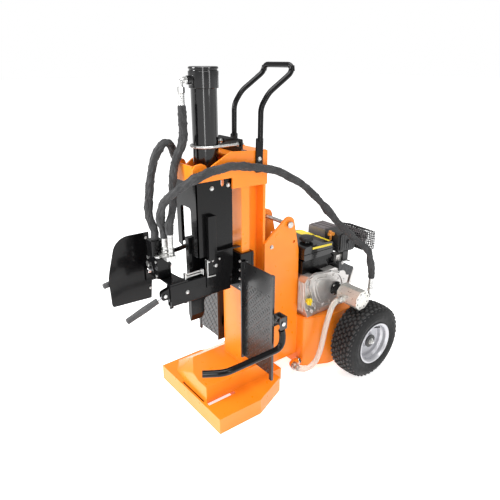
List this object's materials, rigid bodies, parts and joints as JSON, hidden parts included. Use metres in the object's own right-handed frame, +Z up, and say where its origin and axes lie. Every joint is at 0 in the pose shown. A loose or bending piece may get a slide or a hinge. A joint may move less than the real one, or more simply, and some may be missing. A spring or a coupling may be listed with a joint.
{
  "type": "log splitter",
  "caption": "Upright hydraulic log splitter: ram with wedge on a mast, stepped foot, log wings, petrol engine, gear pump and tank on two wheels.",
  "frame": {"origin": "on the ground, below the middle of the mast's front face", "axes": "+Z is up, -Y is the side where the log stands, +X is the side with the pump and the stop bar"},
  "size_m": [0.808, 1.4252, 1.5786],
  "materials": {
    "orange_paint": "gloss powder coat",
    "black_paint": "gloss enamel",
    "tread_paint": "black enamel over five-bar tread pattern",
    "ram_enamel": "gloss enamel",
    "chromed_bar": "polished hard chrome",
    "zinc_plate": "bright zinc plating",
    "engine_casting": "sand-cast, bare",
    "rim_paint": "silver enamel",
    "tyre_rubber": "moulded rubber",
    "grip_rubber": "matt rubber",
    "black_plastic": "moulded, satin",
    "yellow_plastic": "moulded",
    "hose_sleeve": "woven nylon sleeve over rubber hose",
    "clear_hose": "translucent PVC with a wire helix"
  },
  "bodies": {
    "frame": {"foot_base": "orange_paint", "mast_beam": "orange_paint", "mast_head": "orange_paint", "side_plate_right": "orange_paint", "side_plate_left": "orange_paint", "cylinder_tube": "ram_enamel", "cylinder_cap": "ram_enamel", "cylinder_port_elbow": "zinc_plate", "cylinder_gland": "ram_enamel", "cylinder_u_bolt": "zinc_plate", "clamp_plate": "black_paint", "ram_guard": "black_paint", "control_arm": "black_paint", "valve_shelf": "black_paint", "valve_body": "black_paint", "valve_ports": "zinc_plate", "return_pipe": "black_paint", "shield_plate": "black_paint", "tie_rods": "zinc_plate", "push_handle": "black_paint", "log_wing_right": "tread_paint", "log_wing_left": "tread_paint", "oil_tank": "orange_paint", "tank_outlet": "zinc_plate", "axle": "black_paint", "engine_block": "engine_casting", "blower_housing": "black_paint", "fuel_tank": "black_paint", "air_cleaner": "black_plastic", "exhaust": "zinc_plate", "silencer_guard": "black_paint", "coupling_bell": "black_paint", "gear_pump": "engine_casting", "pump_elbow": "zinc_plate", "hose_upper": "hose_sleeve", "hose_lower": "hose_sleeve", "hose_pressure": "hose_sleeve", "hose_suction": "clear_hose"},
    "ram_head": {"wedge_head": "black_paint", "keeper_bar_right": "black_paint", "keeper_bar_left": "black_paint", "splitting_wedge": "black_paint", "piston_rod": "chromed_bar", "piston": "zinc_plate"},
    "valve_spool": {"valve_spool": "chromed_bar"},
    "lever_right": {"lever_right": "chromed_bar", "lever_grip_right": "grip_rubber"},
    "lever_left": {"lever_left": "chromed_bar", "lever_grip_left": "grip_rubber"},
    "stop_bar": {"stop_bar": "black_paint"},
    "wheel_right": {"tyre_right": "tyre_rubber", "rim_right": "rim_paint"},
    "wheel_left": {"tyre_left": "tyre_rubber", "rim_left": "rim_paint"},
    "fuel_cap": {"fuel_cap": "black_plastic"},
    "tank_filler_cap": {"tank_filler_cap": "black_plastic"},
    "starter_grip": {"starter_grip": "black_plastic"},
    "throttle": {"throttle_lever": "zinc_plate"},
    "lifting_pin": {"lifting_pin": "zinc_plate"},
    "oil_filler_plug": {"oil_filler_plug": "yellow_plastic"}
  },
  "joints": [
    {"name": "ram_travel", "type": "slide", "parent": "frame", "child": "ram_head", "axis": [0, 0, 1], "range_m": [-0.28, 0.13]},
    {"name": "lever_right_swing", "type": "hinge", "parent": "frame", "child": "lever_right", "pos_m": [0.057, -0.396, 0.66], "axis": [1, 0, 0], "range_deg": [-10, 16], "stiffness_Nm_per_rad": 6},
    {"name": "spool_stroke", "type": "slide", "parent": "frame", "child": "valve_spool", "axis": [0, 1, 0], "range_m": [-0.006, 0.008]},
    {"name": "lever_left_swing", "type": "hinge", "parent": "frame", "child": "lever_left", "pos_m": [-0.182, -0.4, 0.694], "axis": [1, 0, 0], "range_deg": [-10, 16], "stiffness_Nm_per_rad": 6},
    {"name": "stop_bar_swing", "type": "hinge", "parent": "frame", "child": "stop_bar", "pos_m": [0.34, 0.01, 0.518], "axis": [1, 0, 0], "range_deg": [-95, 0]},
    {"name": "wheel_right_spin", "type": "hinge", "parent": "frame", "child": "wheel_right", "pos_m": [0.33, 0.624, 0.203], "axis": [1, 0, 0], "continuous": true},
    {"name": "wheel_left_spin", "type": "hinge", "parent": "frame", "child": "wheel_left", "pos_m": [-0.33, 0.624, 0.203], "axis": [1, 0, 0], "continuous": true},
    {"name": "fuel_cap_turn", "type": "hinge", "parent": "frame", "child": "fuel_cap", "pos_m": [0.056, 0.43, 0.73], "axis": [0, 0, 1], "range_deg": [0, 90]},
    {"name": "tank_cap_turn", "type": "hinge", "parent": "frame", "child": "tank_filler_cap", "pos_m": [-0.122, 0.404, 0.335], "axis": [0, 0, 1], "range_deg": [0, 360]},
    {"name": "starter_pull", "type": "slide", "parent": "frame", "child": "starter_grip", "axis": [0, -1, 0], "range_m": [0, 0.1], "stiffness_N_per_m": 60},
    {"name": "throttle_swing", "type": "hinge", "parent": "frame", "child": "throttle", "pos_m": [0.15, 0.61, 0.583], "axis": [1, 0, 0], "range_deg": [-12, 30]},
    {"name": "lifting_pin_slide", "type": "slide", "parent": "frame", "child": "lifting_pin", "axis": [1, 0, 0], "range_m": [0, 0.19]},
    {"name": "oil_plug_turn", "type": "hinge", "parent": "frame", "child": "oil_filler_plug", "pos_m": [0.16, 0.362, 0.434], "axis": [1, 0, 0], "range_deg": [0, 360]}
  ],
  "couplings": [
    {"joint": "spool_stroke", "follows": "lever_right_swing", "m_per_rad": 0.022}
  ]
}
